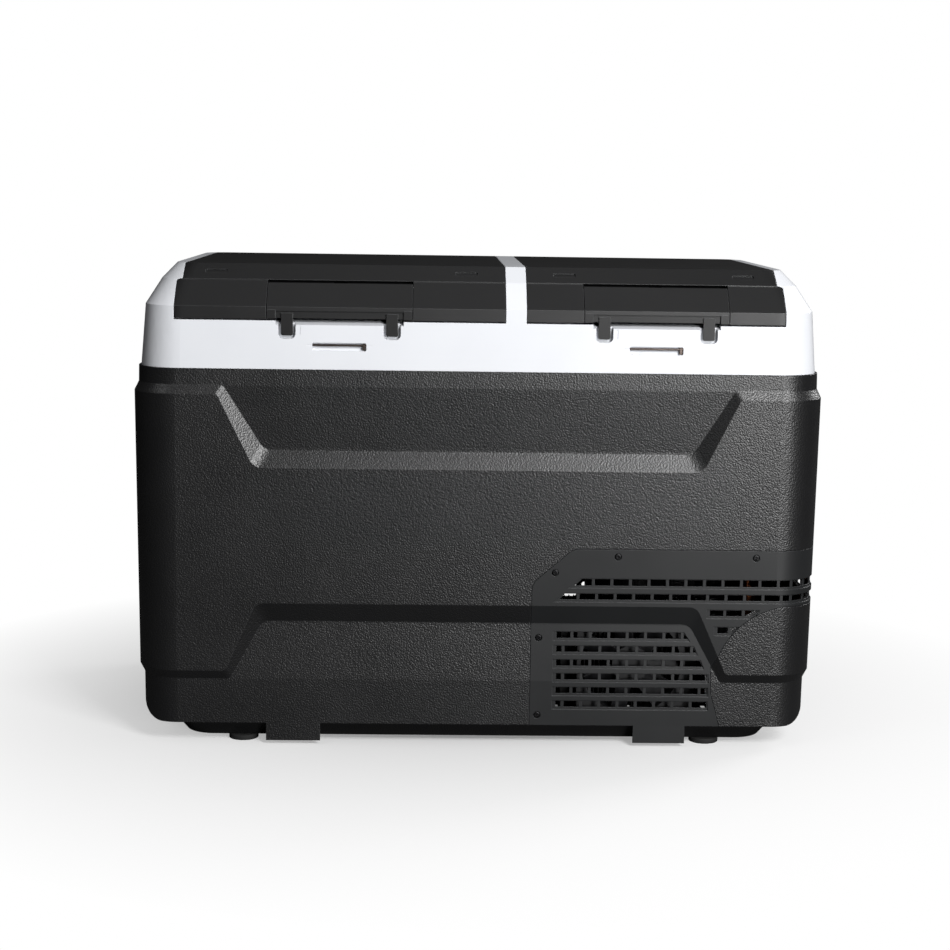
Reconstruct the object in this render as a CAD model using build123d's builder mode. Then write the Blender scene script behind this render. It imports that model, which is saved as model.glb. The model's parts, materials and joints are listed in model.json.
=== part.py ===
"""A dual-zone compressor cooler fridge: a moulded tub on rubber feet, two hinged lids with pull latches,
two insulated bins and a compressor bay behind a vent grille at the lower right. Millimetres, X to the right,
Y to the back, Z up, with the origin on the ground under the middle of the body."""
from build123d import *
import math
import os

os.makedirs("parts", exist_ok=True)

# ---------------------------------------------------------------- driving dimensions
HALF_WIDTH = 345.0  # widest moulded band of the tub
HALF_DEPTH = 190.0
TOP_Z = 482.0  # flat top of the lids
JOINT_Z = 381.0  # where the white top frame meets the tub
TUB_FLOOR_Z = 22.0
WALL = 3.0  # moulded walls of the tub and the top frame
SEAM = 0.4  # gap round a panel that is let into another

# The tub's recessed surface and its proud band: height, half width, half depth, corner radius.
CORE_LEVELS = [
    (TUB_FLOOR_Z, 337.0, 182.0, 37.0),
    (68.0, 337.4, 182.4, 37.4),
    (126.0, 338.0, 180.0, 38.0),
    (302.0, 338.0, 181.2, 38.0),
    (364.0, 340.6, 185.6, 40.6),
    (JOINT_Z, 340.3, 185.3, 40.3),
]
BAND_LEVELS = [
    (62.0, 334.5, 179.5, 34.5),
    (77.0, 342.0, 187.0, 42.0),
    (356.0, HALF_WIDTH, HALF_DEPTH, 45.0),
    (368.0, 339.0, 184.0, 39.0),
]
# The two wide recesses of the front and back: half width and height of the corner, the height they run
# out to, the depth of the proud face there, and the bevel's rise and run for each millimetre of depth.
UPPER_RECESS = dict(corner_x=222.7, corner_z=283.3, far_z=430.0, face=189.2, rise=2.08, run=2.14)
LOWER_RECESS = dict(corner_x=221.0, corner_z=146.7, far_z=0.0, face=187.8, rise=-2.5, run=2.0)
RECESS_SLANT = 0.4665  # sideways run of a recess's slanted side for each millimetre of height
MITRE_RADIUS = 12.0  # rounding where a recess's side meets the bevel of the band
BOTTOM_CORNER = dict(x=315.4, z=44.0, radius=22.0)

# The top frame and the lids share one outer form: height, half width, front, back, corner radius.
CREASE_Z = 467.0
CREASE_Y = -160.5
TOP_LEVELS = [
    (JOINT_Z, 338.0, -187.0, 187.0, 43.0),
    (442.0, 333.0, -184.0, 184.0, 39.0),
    (CREASE_Z, 318.5, CREASE_Y, 179.0, 32.0),
    (TOP_Z, 305.0, -138.0, 160.0, 24.0),
]
LID_SKIRT_Z = 430.0
RIM_Z = 428.5
LID_SPANS = {"left": (-300.2, 24.0), "right": (45.4, 300.2)}
LID_STEP = 5.8  # the lid is this much narrower at its outer end behind the crease
LID_WALL = 2.8
HINGE_Y = 160.0
HINGE_Z = 456.0
HINGE_RADIUS = TOP_Z - HINGE_Z
HINGE_PIN_RADIUS = 3.0
PIN_FIT = 0.05
BARREL_Y = 132.0  # the solid hinge barrel of a lid starts here

MOUTHS = {"left": (-281.0, 6.0), "right": (63.0, 281.0)}
MOUTH_Y = (-146.0, 124.0)
MOUTH_RADIUS = 20.0
LINER_FLOORS = {"left": 52.0, "right": 230.0}
LINER_WALL = 2.0
LINER_TOP = RIM_Z - WALL - 0.3

FLAP_SPANS = {"left": (-210.0, -67.5), "right": (102.0, 244.5)}
FLAP_GAP = 0.7
FLAP_POCKET = 16.0
FLAP_PIN_Y = -158.5
FLAP_PIN_Z = 460.5
FLAP_PIN_RADIUS = 1.5
FLAP_EDGE_Z = 438.2
FLAP_LEG = 8.4  # width of the flap's strip that reaches down to the lid's skirt at each end
PRONG_INSET = 19.7  # from each end of the flap to the middle of a prong
PRONG_WIDTH = 11.5
PRONG_TIP_Z = 414.0
ROD_SPAN = 53.0
ROD_Z = 405.0

BAY_X = 46.0  # the compressor bay lies to the right of this
BAY_Z = 214.0

GRILLE_THICKNESS = 2.6
SLOT_PITCH = 18.6
DIVIDER = 3.0
GRILLE_SCREWS = [(140.3, 197.3), (278.9, 197.3), (77.8, 180.6), (62.8, 112.3), (62.6, 32.7)]

FAN_X = 158.0
FAN_Z = 82.0
FAN_SIDE = 110.0
FAN_FRONT = -168.0
FAN_DEPTH = 25.0

PANEL_TILT = math.atan2(5.0, 61.0)
PANEL_SIZE = (132.0, 40.0)


# ---------------------------------------------------------------- helpers
def save(piece, name):
    """Labels a finished piece and writes it as the STEP file of its node."""
    piece.part.label = name
    export_step(piece.part, f"parts/{name}.step")


def block(x, y, z, mode=Mode.ADD):
    """A box from its (low, high) limits along X, Y and Z."""
    with Locations(((x[0] + x[1]) / 2, (y[0] + y[1]) / 2, (z[0] + z[1]) / 2)):
        Box(x[1] - x[0], y[1] - y[0], z[1] - z[0], mode=mode)


def rounded_block(x, y, z, radius, mode=Mode.ADD):
    """A box from its limits, with its four upright edges rounded."""
    with BuildSketch(Plane.XY.offset(z[0])) as outline:
        with Locations(((x[0] + x[1]) / 2, (y[0] + y[1]) / 2)):
            RectangleRounded(x[1] - x[0], y[1] - y[0], radius)
    extrude(outline.sketch, amount=z[1] - z[0], mode=mode)


def rod(start, end, radius, mode=Mode.ADD):
    """A round bar between two points."""
    axis = Vector(*end) - Vector(*start)
    with BuildSketch(Plane(origin=start, z_dir=axis)) as outline:
        Circle(radius)
    extrude(outline.sketch, amount=axis.length, mode=mode)


def stacked_form(levels, inset=0.0):
    """A solid ruled through level rounded rectangles, drawn in by the inset."""
    with BuildPart() as form:
        for height, half_width, front, back, radius in levels:
            with BuildSketch(Plane.XY.offset(height)):
                with Locations((0, (front + back) / 2)):
                    RectangleRounded(2 * (half_width - inset), back - front - 2 * inset, radius - inset)
        loft(ruled=True)
    return form.part


def even_levels(levels):
    """Levels whose front and back are the same distance from the middle."""
    return [(height, half_width, -half, half, radius) for height, half_width, half, radius in levels]


def recess_cutter(corner_x, corner_z, far_z, face, rise, run, inset):
    """The solid that carves one trapezoidal recess with bevelled sides out of the front band."""
    with BuildPart() as cutter:
        for depth in (-8.0, 18.0):
            low_z = corner_z + rise * depth
            low_x = corner_x + abs(rise) * depth * RECESS_SLANT - run * depth
            far_x = corner_x + abs(far_z - corner_z) * RECESS_SLANT - run * depth
            with BuildSketch(Plane.XZ.offset(face - inset - depth)) as outline:
                with BuildLine():
                    Polyline((-low_x, low_z), (low_x, low_z), (far_x, far_z), (-far_x, far_z), close=True)
                make_face()
                corners = outline.vertices().group_by(Axis.Y)[0 if rise > 0 else -1]
                fillet(corners, 13.0)
        loft(ruled=True)
    return cutter.part


def mitre_edges(form):
    """The short edges where a recess's slanted sides meet the bevels along the band's top and bottom."""
    upper_z = (BAND_LEVELS[2][0], BAND_LEVELS[3][0])
    lower_z = (BAND_LEVELS[0][0], BAND_LEVELS[1][0])
    slanted = []
    for edge in form.edges():
        middle = edge @ 0.5
        run = edge @ 1 - edge @ 0
        in_bevel = any(low < middle.Z < high for low, high in (upper_z, lower_z))
        if in_bevel and abs(run.Z) > 5 and abs(run.X) > 1 and abs(middle.X) < 300 and edge.length < 30:
            slanted.append(edge)
    return slanted


def tub_form(inset):
    """The tub's outer form drawn in by the inset: the recessed core with the proud band round it."""
    with BuildPart() as form:
        add(stacked_form(even_levels(BAND_LEVELS), inset))
        for recess in (UPPER_RECESS, LOWER_RECESS):
            cutter = recess_cutter(inset=inset, **recess)
            add(cutter, mode=Mode.SUBTRACT)
            add(cutter.mirror(Plane.XZ), mode=Mode.SUBTRACT)
        fillet(mitre_edges(form), MITRE_RADIUS)
        add(stacked_form(even_levels(CORE_LEVELS), inset))
        for side in (-1, 1):
            reach = BOTTOM_CORNER["radius"]
            with BuildSketch(Plane.XZ):
                with Locations((side * (BOTTOM_CORNER["x"] + reach), BOTTOM_CORNER["z"] - reach)):
                    Rectangle(2 * reach, 2 * reach)
                with Locations((side * BOTTOM_CORNER["x"], BOTTOM_CORNER["z"])):
                    Circle(reach - inset, mode=Mode.SUBTRACT)
            extrude(amount=HALF_DEPTH + 10, both=True, mode=Mode.SUBTRACT)
    return form.part


def top_form(inset=0.0):
    """The shared outer form of the top frame and the lids, drawn in by the inset."""
    return stacked_form(TOP_LEVELS, inset)


def grille_region(grow):
    """Everything in front of and beside the compressor bay that the vent grille covers."""
    with BuildPart() as region:
        with BuildSketch(Plane.XZ.offset(100)):
            with BuildLine():
                left = FilletPolyline((400, 204.5), (95.7, 204.5), (55, 168.9), (55, TUB_FLOOR_Z - 6), radius=16)
                foot = Line(left @ 1, (249.2, TUB_FLOOR_Z - 6))
                seam = Polyline(foot @ 1, (237.7, 57.3), (237.2, 83.0), (246.6, 101.9))
                arc = ThreePointArc(seam @ 1, (269.7, 131.1), (310.0, 147.8))
                Polyline(arc @ 1, (400, 147.8), (400, 204.5))
            make_face()
            if grow:
                offset(amount=grow, kind=Kind.INTERSECTION)
        extrude(amount=110)
        with BuildSketch(Plane.YZ.offset(300)) as side:
            with Locations((-25.0, (204.5 + 147.8) / 2)):
                Rectangle(270.0, 204.5 - 147.8)
            fillet(side.vertices().group_by(Axis.X)[-1], 12.0)
            if grow:
                offset(amount=grow, kind=Kind.INTERSECTION)
        extrude(amount=100)
    return region.part


def wraparound_row(start_low, start_high, low, high, end_y, dividers):
    """A band of slots that starts slanted on the front, turns the right-hand corner and runs along the side."""
    corner = (300.0, -145.0)
    with BuildPart() as row:
        with BuildSketch(Plane.XZ.offset(165)):
            with BuildLine():
                Polyline((start_low, low), (400, low), (400, high), (start_high, high), close=True)
            make_face()
        extrude(amount=40)
        block((322, 360), (-200, end_y), (low, high))
        if dividers:
            middle = (low + high) / 2
            height = high - low + 2
            for step in range(round((corner[0] - start_low) / SLOT_PITCH)):
                with Locations((start_low + (step + 1) * SLOT_PITCH, -182, middle)):
                    Box(DIVIDER, 40, height, mode=Mode.SUBTRACT)
            for angle in (22.0, 45.0, 68.0):
                with Locations(Location((*corner, middle), (0, 0, -angle))):
                    Box(120, DIVIDER, height, mode=Mode.SUBTRACT)
            for step in range(int((end_y - corner[1]) / SLOT_PITCH)):
                with Locations((345, corner[1] + 4 + step * SLOT_PITCH, middle)):
                    Box(60, DIVIDER, height, mode=Mode.SUBTRACT)
    return row.part


def short_row(start, end_low, end_high, low, high, first, dividers):
    """A row of slots straight through the front, with a slanted right-hand end."""
    with BuildPart() as row:
        with BuildSketch(Plane.XZ.offset(165)):
            with BuildLine():
                Polyline((start, low), (end_low, low), (end_high, high), (start, high), close=True)
            make_face()
        extrude(amount=40)
        if dividers:
            for step in range(int((end_low - start - first - DIVIDER) / SLOT_PITCH) + 1):
                with Locations((start + first + step * SLOT_PITCH, -182, (low + high) / 2)):
                    Box(DIVIDER, 60, high - low + 2, mode=Mode.SUBTRACT)
    return row.part


def screw_face(screw_z):
    """The depth of the grille's face at a screw: its proud upper part, recessed middle or lower edge."""
    if screw_z > 150:
        return -188.3
    return -180.4 if screw_z > 60 else -182.0


def lid_zone(side, grow, floor):
    """The space of one lid in plan: wide in front of the crease and stepped in at its outer end behind."""
    low, high = LID_SPANS[side]
    step_low = LID_STEP if side == "left" else 0.0
    step_high = LID_STEP if side == "right" else 0.0
    with BuildPart() as zone:
        block((low - grow, high + grow), (-210, CREASE_Y + 2 + grow), (floor, 520))
        block((low + step_low - grow, high - step_high + grow), (CREASE_Y - 5, 210), (floor, 520))
    return zone.part


def bent_tube(points, bend, radius):
    """A tube along straight runs joined by arcs."""
    with BuildPart() as tube:
        with BuildLine() as path:
            FilletPolyline(*points, radius=bend)
        with BuildSketch(Plane(origin=points[0], z_dir=Vector(*points[1]) - Vector(*points[0]))):
            Circle(radius)
        sweep(path=path.line)
    return tube.part


def rim_loop(x, y, z, corner, radius):
    """A tube bent into one closed loop round a bin."""
    with BuildPart() as loop:
        with BuildSketch(Plane.XY.offset(z), mode=Mode.PRIVATE) as outline:
            with Locations(((x[0] + x[1]) / 2, (y[0] + y[1]) / 2)):
                RectangleRounded(x[1] - x[0], y[1] - y[0], corner)
        path = outline.sketch.faces()[0].outer_wire()
        with BuildSketch(Plane(origin=path.position_at(0), z_dir=path.tangent_at(0))):
            Circle(radius)
        sweep(path=path)
    return loop.part


TUB_OUTER = tub_form(0.0)
TUB_INNER = tub_form(WALL)
TOP_OUTER = top_form()

# ---------------------------------------------------------------- tub
LEDGE_FRONT = GRILLE_THICKNESS + 0.2
LEDGE_BACK = LEDGE_FRONT + 2.6
GRIP_Y = (-60.0, 60.0)
GRIP_Z = (294.0, 330.0)
SOCKET_X = 200.0
SOCKET_Z = 95.0
SOCKET_RADIUS = 12.5

with BuildPart() as grille_ledge:
    add(tub_form(LEDGE_FRONT))
    add(tub_form(LEDGE_BACK), mode=Mode.SUBTRACT)
    add(grille_region(4.0), mode=Mode.INTERSECT)
    add(grille_region(-5.0), mode=Mode.SUBTRACT)
    block((-400, 400), (-250, 250), (0, TUB_FLOOR_Z + WALL + 0.3), mode=Mode.SUBTRACT)

with BuildPart() as screw_bosses:
    for screw_x, screw_z in GRILLE_SCREWS:
        rod((screw_x, -195, screw_z), (screw_x, -171, screw_z), 4.6)
    add(tub_form(LEDGE_FRONT), mode=Mode.INTERSECT)

with BuildPart() as rim_flange:
    add(TUB_INNER)
    block((-400, 400), (-250, 250), (0, JOINT_Z - WALL), mode=Mode.SUBTRACT)
    rounded_block((-328, 328), (-173, 173), (300, 400), 28, mode=Mode.SUBTRACT)

with BuildPart() as outer_body:
    add(TUB_OUTER)
    add(TUB_INNER, mode=Mode.SUBTRACT)
    add(rim_flange.part)
    add(grille_region(SEAM), mode=Mode.SUBTRACT)
    add(grille_ledge.part)
    add(screw_bosses.part)
    for screw_x, screw_z in GRILLE_SCREWS:
        rod((screw_x, -195, screw_z), (screw_x, -165, screw_z), 1.55, mode=Mode.SUBTRACT)
    block((-211.3, -156.7), (-182.0, -179.0), (4.0, TUB_FLOOR_Z + 2))
    for side_x in (-345, 345):
        with BuildSketch(Plane.YZ.offset(side_x - 25)):
            with Locations((sum(GRIP_Y) / 2, sum(GRIP_Z) / 2)):
                RectangleRounded(GRIP_Y[1] - GRIP_Y[0], GRIP_Z[1] - GRIP_Z[0], 12)
        extrude(amount=50, mode=Mode.SUBTRACT)
    rod((SOCKET_X, 170, SOCKET_Z), (SOCKET_X, 195, SOCKET_Z), SOCKET_RADIUS + 0.3, mode=Mode.SUBTRACT)
    with BuildSketch(Plane.XZ.offset(-170)):
        with Locations((115, 82)):
            with GridLocations(32, 12, 3, 5):
                SlotOverall(26, 6)
    extrude(amount=-25, mode=Mode.SUBTRACT)
save(outer_body, "outer_body")

# ---------------------------------------------------------------- base tray and feet
FOOT_X = 236.0
FOOT_Y = 155.0
TRAY_BOTTOM = 5.0
COMPRESSOR_X = 178.0
COMPRESSOR_Y = 62.0
MOUNT_SPOTS = [(COMPRESSOR_X + i * 62.0, COMPRESSOR_Y + j * 44.0) for i in (-1, 1) for j in (-1, 1)]
FOOT_SPOTS = [(i * FOOT_X, j * FOOT_Y) for i in (-1, 1) for j in (-1, 1)]
TRAY_LEVELS = [(TRAY_BOTTOM, 296.0, 162.0, 30.0), (TUB_FLOOR_Z, 309.0, 172.0, 35.0)]
TRAY_HOLLOW_LEVELS = [(TRAY_BOTTOM + WALL, 296.0, 162.0, 30.0), (30.0, 309.0, 172.0, 35.0)]
with BuildPart() as base_tray:
    add(stacked_form(even_levels(TRAY_LEVELS)))
    rounded_block((-313, 313), (-178, 178), (TUB_FLOOR_Z, TUB_FLOOR_Z + WALL), 33)
    add(stacked_form(even_levels(TRAY_HOLLOW_LEVELS), WALL), mode=Mode.SUBTRACT)
    for spot_x, spot_y in FOOT_SPOTS:
        rod((spot_x, spot_y, 6), (spot_x, spot_y, 18), 6)
        rod((spot_x, spot_y, 0), (spot_x, spot_y, 30), 2.1, mode=Mode.SUBTRACT)
    for spot_x, spot_y in MOUNT_SPOTS:
        rod((spot_x, spot_y, 6), (spot_x, spot_y, 32), 8)
        rod((spot_x, spot_y, 12), (spot_x, spot_y, 40), 3.05, mode=Mode.SUBTRACT)
    for slot_x in (90, 130, 170, 210, 250):
        block((slot_x - 3, slot_x + 3), (-120, -40), (0, 12), mode=Mode.SUBTRACT)
save(base_tray, "base_tray")

with BuildPart() as rubber_feet:
    for spot_x, spot_y in FOOT_SPOTS:
        with BuildSketch(Plane(origin=(spot_x, spot_y, 0), x_dir=(1, 0, 0), z_dir=(0, -1, 0))):
            with BuildLine():
                Polyline((4.4, 0), (14, 0), (15, 1), (15, TRAY_BOTTOM), (2.1, TRAY_BOTTOM), (2.1, 2.2), close=True)
            make_face()
        revolve(axis=Axis((spot_x, spot_y, 0), (0, 0, 1)))
save(rubber_feet, "rubber_feet")

with BuildPart() as foot_screws:
    for spot_x, spot_y in FOOT_SPOTS:
        with BuildSketch(Plane(origin=(spot_x, spot_y, 0), x_dir=(1, 0, 0), z_dir=(0, -1, 0))):
            with BuildLine():
                Polyline((0, 0.6), (3.6, 0.6), (2.0, 2.1), (2.0, 17.0), (0, 17.0), close=True)
            make_face()
        revolve(axis=Axis((spot_x, spot_y, 0), (0, 0, 1)))
save(foot_screws, "foot_screws")

# ---------------------------------------------------------------- vent grille
TAB_X = (160.3, 212.9)
SIDE_END_Y = 92.0
TROUGH = 1.2
LONG_ROWS = [(97.6, 105.0, 167.6, 174.3), (82.6, 87.9, 153.3, 159.2)]
SHORT_ROWS = [(234.3, 277.0, 284.0, 137.5, 143.4, 15.0), (242.5, 256.5, 263.0, 119.8, 125.9, 12.0)]
BLOCK_START = 81.0
BLOCK_ENDS = [(214.5, 209.0), (222.8, 219.3), (229.5, 226.5), (234.4, 234.4), (234.4, 234.4), (234.4, 234.4)]
for number, (end_low, end_high) in enumerate(BLOCK_ENDS):
    row_low = 112.0 - 14.2 * number
    first_divider = 15.5 if number % 2 == 0 else 6.8
    SHORT_ROWS.append((BLOCK_START, end_low, end_high, row_low, row_low + 6.2, first_divider))

# Each row sits in a shallow trough, whose lower lip makes the bright ledge under it.
with BuildPart() as troughs:
    for start_low, start_high, low, high in LONG_ROWS:
        add(wraparound_row(start_low - 6, start_high - 2, low - 2.6, high + 0.8, SIDE_END_Y + 2, False))
    for start, end_low, end_high, low, high, first in SHORT_ROWS:
        add(short_row(start - 3.6, end_low + 1.6, end_high + 1.0, low - 2.6, high + 0.8, first, False))
    add(tub_form(TROUGH), mode=Mode.SUBTRACT)

with BuildPart() as vent_grille:
    add(TUB_OUTER)
    add(tub_form(GRILLE_THICKNESS), mode=Mode.SUBTRACT)
    add(grille_region(0.0), mode=Mode.INTERSECT)
    block(TAB_X, (-182.0, -182.0 + GRILLE_THICKNESS), (4.0, TUB_FLOOR_Z + 2))
    add(troughs.part, mode=Mode.SUBTRACT)
    for start_low, start_high, low, high in LONG_ROWS:
        add(wraparound_row(start_low, start_high, low, high, SIDE_END_Y, True), mode=Mode.SUBTRACT)
    for start, end_low, end_high, low, high, first in SHORT_ROWS:
        add(short_row(start, end_low, end_high, low, high, first, True), mode=Mode.SUBTRACT)
    for screw_x, screw_z in GRILLE_SCREWS:
        head_y = screw_face(screw_z) + 1.2
        rod((screw_x, -195, screw_z), (screw_x, head_y, screw_z), 3.7, mode=Mode.SUBTRACT)
        rod((screw_x, -195, screw_z), (screw_x, -165, screw_z), 1.7, mode=Mode.SUBTRACT)
save(vent_grille, "vent_grille")

with BuildPart() as grille_screws:
    for screw_x, screw_z in GRILLE_SCREWS:
        face_y = screw_face(screw_z)
        head = (screw_x, face_y + 1.15, screw_z)
        rod(head, (screw_x, face_y - 0.7, screw_z), 3.1)
        rod(head, (screw_x, face_y + 9.0, screw_z), 1.5)
        with BuildSketch(Plane.XZ.offset(-(face_y - 0.7))):
            with Locations((screw_x, screw_z)):
                Rectangle(3.4, 0.8)
                Rectangle(0.8, 3.4)
        extrude(amount=-0.9, mode=Mode.SUBTRACT)
save(grille_screws, "grille_screws")

# ---------------------------------------------------------------- top frame
CONTROL_PLANE = Plane(
    origin=(338.0 - 30.0 * math.tan(PANEL_TILT), 0, JOINT_Z + 30.0),
    x_dir=(0, 1, 0),
    z_dir=(math.cos(PANEL_TILT), 0, math.sin(PANEL_TILT)),
)
FRAME_GAP = 0.6


def latch_prongs(side):
    """The middles of one latch's two prongs."""
    low, high = FLAP_SPANS[side]
    return (low + PRONG_INSET, high - PRONG_INSET)


def rod_middle(side):
    """The middle of the steel keeper rod under one latch."""
    low, high = FLAP_SPANS[side]
    return (low + high) / 2


def hinge_spots(side):
    """The lid ends where its two hinge pins sit, each with the direction from the lid to the frame."""
    low, high = LID_SPANS[side]
    if side == "left":
        return [(low + LID_STEP, -1), (high, 1)]
    return [(low, -1), (high - LID_STEP, 1)]


with BuildPart() as frame_hollow:
    add(top_form(WALL))
    block((-400, 400), (-250, 250), (TOP_Z - WALL, 500), mode=Mode.SUBTRACT)
    for side in LID_SPANS:
        add(lid_zone(side, FRAME_GAP + WALL, RIM_Z - WALL), mode=Mode.SUBTRACT)
        low, high = FLAP_SPANS[side]
        block((low - 4, high + 4), (-200, -168), (390, 430), mode=Mode.SUBTRACT)
        for end, way in hinge_spots(side):
            block((end - 14, end + 14), (HINGE_Y - 12, HINGE_Y + 40), (HINGE_Z - 14, 500), mode=Mode.SUBTRACT)
    block((324, 345), (-72, 72), (386, 436), mode=Mode.SUBTRACT)

with BuildPart() as top_frame:
    add(TOP_OUTER)
    add(frame_hollow.part, mode=Mode.SUBTRACT)
    for side in LID_SPANS:
        add(lid_zone(side, FRAME_GAP, RIM_Z), mode=Mode.SUBTRACT)
        mouth = MOUTHS[side]
        rounded_block(mouth, MOUTH_Y, (370, 500), MOUTH_RADIUS, mode=Mode.SUBTRACT)
        for prong_x in latch_prongs(side):
            with BuildSketch(Plane.XZ.offset(179)) as pocket:
                with Locations((prong_x, (411 + 440) / 2)):
                    Rectangle(17.0, 440 - 411)
                fillet(pocket.vertices().group_by(Axis.Y)[0], 5.0)
            extrude(amount=20, mode=Mode.SUBTRACT)
        flap_low, flap_high = FLAP_SPANS[side]
        with BuildSketch(Plane.YZ.offset(flap_low + FLAP_LEG)):
            with BuildLine():
                Polyline((-195, 424.5), (-185.0, 424.5), (-170.5, RIM_Z), (-170.5, 440), (-195, 440), close=True)
            make_face()
        extrude(amount=flap_high - flap_low - 2 * FLAP_LEG, mode=Mode.SUBTRACT)
        groove_x = latch_prongs(side)[0] + 12.6
        block((groove_x, groove_x + 0.6), (-190, -184.6), (415, 424), mode=Mode.SUBTRACT)
        middle = rod_middle(side)
        with BuildSketch(Plane.XZ.offset(182)):
            with Locations((middle, ROD_Z - 1.6)):
                RectangleRounded(ROD_SPAN, 7.6, 1.6)
        extrude(amount=10, mode=Mode.SUBTRACT)
        rod((middle - 32, -184.4, ROD_Z), (middle + 32, -184.4, ROD_Z), 1.15, mode=Mode.SUBTRACT)
        for end, way in hinge_spots(side):
            start = end + way * FRAME_GAP / 2
            rod((start, HINGE_Y, HINGE_Z), (start + way * 9.3, HINGE_Y, HINGE_Z),
                HINGE_PIN_RADIUS + PIN_FIT, mode=Mode.SUBTRACT)
    with BuildSketch(CONTROL_PLANE.offset(-2.2)):
        RectangleRounded(*PANEL_SIZE, 8)
    extrude(amount=10, mode=Mode.SUBTRACT)
save(top_frame, "top_frame")

for side in LID_SPANS:
    middle = rod_middle(side)
    with BuildPart() as keeper_rod:
        rod((middle - 31.5, -184.4, ROD_Z), (middle + 31.5, -184.4, ROD_Z), 1.1)
        block((middle + 22.8, middle + 25.6), (-185.8, -182.2), (ROD_Z - 4.6, ROD_Z + 1.6))
    save(keeper_rod, f"keeper_rod_{side}")

# ---------------------------------------------------------------- bins, evaporators and insulation
def bin_outline(side, grow):
    """The limits of a bin's liner along X and Y, measured outside its wall and grown."""
    low, high = MOUTHS[side]
    reach = LINER_WALL + grow
    return (low - reach, high + reach), (MOUTH_Y[0] - reach, MOUTH_Y[1] + reach)


for side in LID_SPANS:
    floor = LINER_FLOORS[side]
    outer_x, outer_y = bin_outline(side, 0)
    with BuildPart() as bin_space:
        rounded_block(MOUTHS[side], MOUTH_Y, (floor, LINER_TOP + 5), MOUTH_RADIUS)
        fillet(bin_space.faces().sort_by(Axis.Z)[0].edges(), 10.0)
    with BuildPart() as inner_liner:
        rounded_block(outer_x, outer_y, (floor - LINER_WALL, LINER_TOP), MOUTH_RADIUS + LINER_WALL)
        fillet(inner_liner.faces().sort_by(Axis.Z)[0].edges(), 12.0)
        flange_x, flange_y = bin_outline(side, 7)
        rounded_block(flange_x, flange_y, (LINER_TOP - 2.5, LINER_TOP), MOUTH_RADIUS + 8)
        add(bin_space.part, mode=Mode.SUBTRACT)
    save(inner_liner, f"inner_liner_{side}")

EVAPORATOR_Z = {"left": (110.0, 350.0), "right": (262.0, 370.0)}
TUBE_RADIUS = 3.0
for side in LID_SPANS:
    low, high = EVAPORATOR_Z[side]
    with BuildPart() as evaporator_plate:
        rounded_block(*bin_outline(side, 1.6), (low, high), MOUTH_RADIUS + 3.6)
        rounded_block(*bin_outline(side, 0.6), (low - 5, high + 5), MOUTH_RADIUS + 2.6, mode=Mode.SUBTRACT)
    save(evaporator_plate, f"evaporator_plate_{side}")
    loop_x, loop_y = bin_outline(side, 1.8 + TUBE_RADIUS)
    with BuildPart() as evaporator_coil:
        for turn in range(5):
            loop_z = low + 15 + turn * (high - low - 30) / 4
            add(rim_loop(loop_x, loop_y, loop_z, MOUTH_RADIUS + 6, TUBE_RADIUS))
    save(evaporator_coil, f"evaporator_coil_{side}")

with BuildPart() as temperature_probes:
    for side, probe_x in (("left", -120.0), ("right", 170.0)):
        probe_y = MOUTH_Y[1] + LINER_WALL + 0.4 + 3.0
        probe_z = EVAPORATOR_Z[side][0] - 12.0
        rod((probe_x, probe_y, probe_z), (probe_x + 26, probe_y, probe_z), 3.0)
save(temperature_probes, "temperature_probes")

FOAM_TOP = LINER_TOP - 3.0
SUCTION_TUBE = dict(x=300.0, y=120.0, radius=4.0)
CAPILLARY_TUBE = dict(x=292.0, y=112.0, radius=1.5)
TUBE_TOP_Z = 226.0


def tube_holes(low_z):
    """Cuts the two holes through which the refrigerant tubes leave the compressor bay."""
    for tube in (SUCTION_TUBE, CAPILLARY_TUBE):
        rod((tube["x"], tube["y"], low_z), (tube["x"], tube["y"], TUBE_TOP_Z + 0.5), tube["radius"] + 0.6,
            mode=Mode.SUBTRACT)


with BuildPart() as insulation_foam:
    add(tub_form(WALL + 0.6))
    block((-400, 400), (-250, 250), (0, 27), mode=Mode.SUBTRACT)
    block((-400, 400), (-250, 250), (JOINT_Z - WALL - 0.5, 500), mode=Mode.SUBTRACT)
    rounded_block((-327, 327), (-167, 167), (300, FOAM_TOP), 28)
    for side in LID_SPANS:
        rounded_block(*bin_outline(side, 0.5), (LINER_FLOORS[side] - 2.5, 450), MOUTH_RADIUS + 2.5,
                      mode=Mode.SUBTRACT)
        low, high = EVAPORATOR_Z[side]
        rounded_block(*bin_outline(side, 9), (low - 20, high + 5), MOUTH_RADIUS + 11, mode=Mode.SUBTRACT)
        sign = -1 if side == "left" else 1
        grip_limits = sorted((sign * 310.0, sign * 350.0))
        block(grip_limits, (GRIP_Y[0] - 12, GRIP_Y[1] + 12), (GRIP_Z[0] - 10, GRIP_Z[1] + 10), mode=Mode.SUBTRACT)
    block((BAY_X - 1.0, 400), (-250, 250), (0, BAY_Z + 2.5), mode=Mode.SUBTRACT)
    block((320, 340), (-74, 74), (384, 440), mode=Mode.SUBTRACT)
    tube_holes(BAY_Z)
save(insulation_foam, "insulation_foam")

with BuildPart() as bay_bulkhead:
    block((BAY_X, BAY_X + 1.5), (-172, 172), (30, BAY_Z + 1.5))
    block((BAY_X, 330), (-172, 172), (BAY_Z, BAY_Z + 1.5))
    tube_holes(BAY_Z - 5)
save(bay_bulkhead, "bay_bulkhead")

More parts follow.
